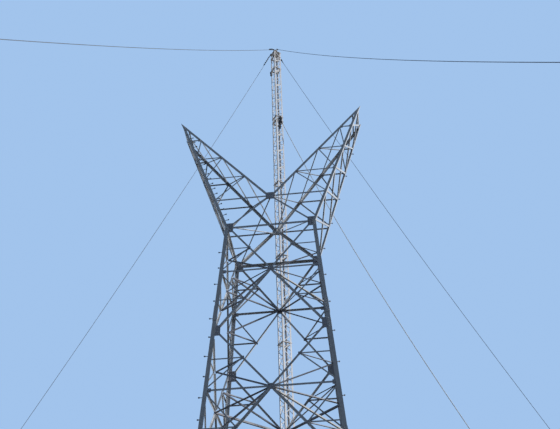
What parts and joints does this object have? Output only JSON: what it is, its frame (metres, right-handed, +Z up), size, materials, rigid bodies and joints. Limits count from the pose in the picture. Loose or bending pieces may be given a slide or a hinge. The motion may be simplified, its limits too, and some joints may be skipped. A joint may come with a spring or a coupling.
{
  "type": "guyed lattice radio mast with a forked lattice tower",
  "caption": "Slender guyed square lattice mast standing close behind a forked square lattice tower with raised arms, in bolted galvanised angle steel.",
  "frame": {"origin": "underside of the mast's base plate, on the mast's axis", "axes": "+Z up along the mast, +X to the picture's right along the tower's arms, +Y from the tower to the mast"},
  "size_m": [38.3122, 36.2006, 35.382],
  "materials": {
    "tower_steel": "weathered hot-dip zinc, matt",
    "mast_steel": "bright zinc, lightly worn",
    "guy_rope": "stranded wire, dulled",
    "bright_rope": "stranded wire, bright",
    "dark_fitting": "dark paint, worn",
    "anchor_steel": "weathered zinc"
  },
  "bodies": {
    "root": {"leg_front_left": "tower_steel", "leg_front_right": "tower_steel", "leg_rear_left": "tower_steel", "leg_rear_right": "tower_steel", "body_face_front": "tower_steel", "body_face_rear": "tower_steel", "body_face_left": "tower_steel", "body_face_right": "tower_steel", "base_bracing_front_left": "tower_steel", "base_bracing_front_right": "tower_steel", "base_bracing_rear_left": "tower_steel", "base_bracing_rear_right": "tower_steel", "plan_bracing_upper": "tower_steel", "plan_bracing_lower": "tower_steel", "plan_bracing_base": "tower_steel", "crotch_frame_front": "tower_steel", "crotch_frame_rear": "tower_steel", "crotch_ties": "tower_steel", "arm_chords_left": "tower_steel", "arm_front_bracing_left": "tower_steel", "arm_rear_bracing_left": "tower_steel", "arm_side_bracing_left": "tower_steel", "arm_chords_right": "tower_steel", "arm_front_bracing_right": "tower_steel", "arm_rear_bracing_right": "tower_steel", "arm_side_bracing_right": "tower_steel", "mast_foot": "mast_steel", "mast_section_1": "mast_steel", "mast_section_2": "mast_steel", "mast_section_3": "mast_steel", "mast_section_4": "mast_steel", "mast_section_5": "mast_steel", "mast_section_6": "mast_steel", "mast_section_7": "mast_steel", "mast_head": "mast_steel", "guy_front_left": "guy_rope", "guy_front_right": "guy_rope", "guy_rear_left": "guy_rope", "guy_rear_right": "guy_rope", "anchor_front_left": "anchor_steel", "anchor_front_right": "anchor_steel", "anchor_rear_left": "anchor_steel", "anchor_rear_right": "anchor_steel", "tackle_block": "dark_fitting", "tackle_line": "bright_rope", "anchor_tackle": "anchor_steel"}
  },
  "joints": []
}
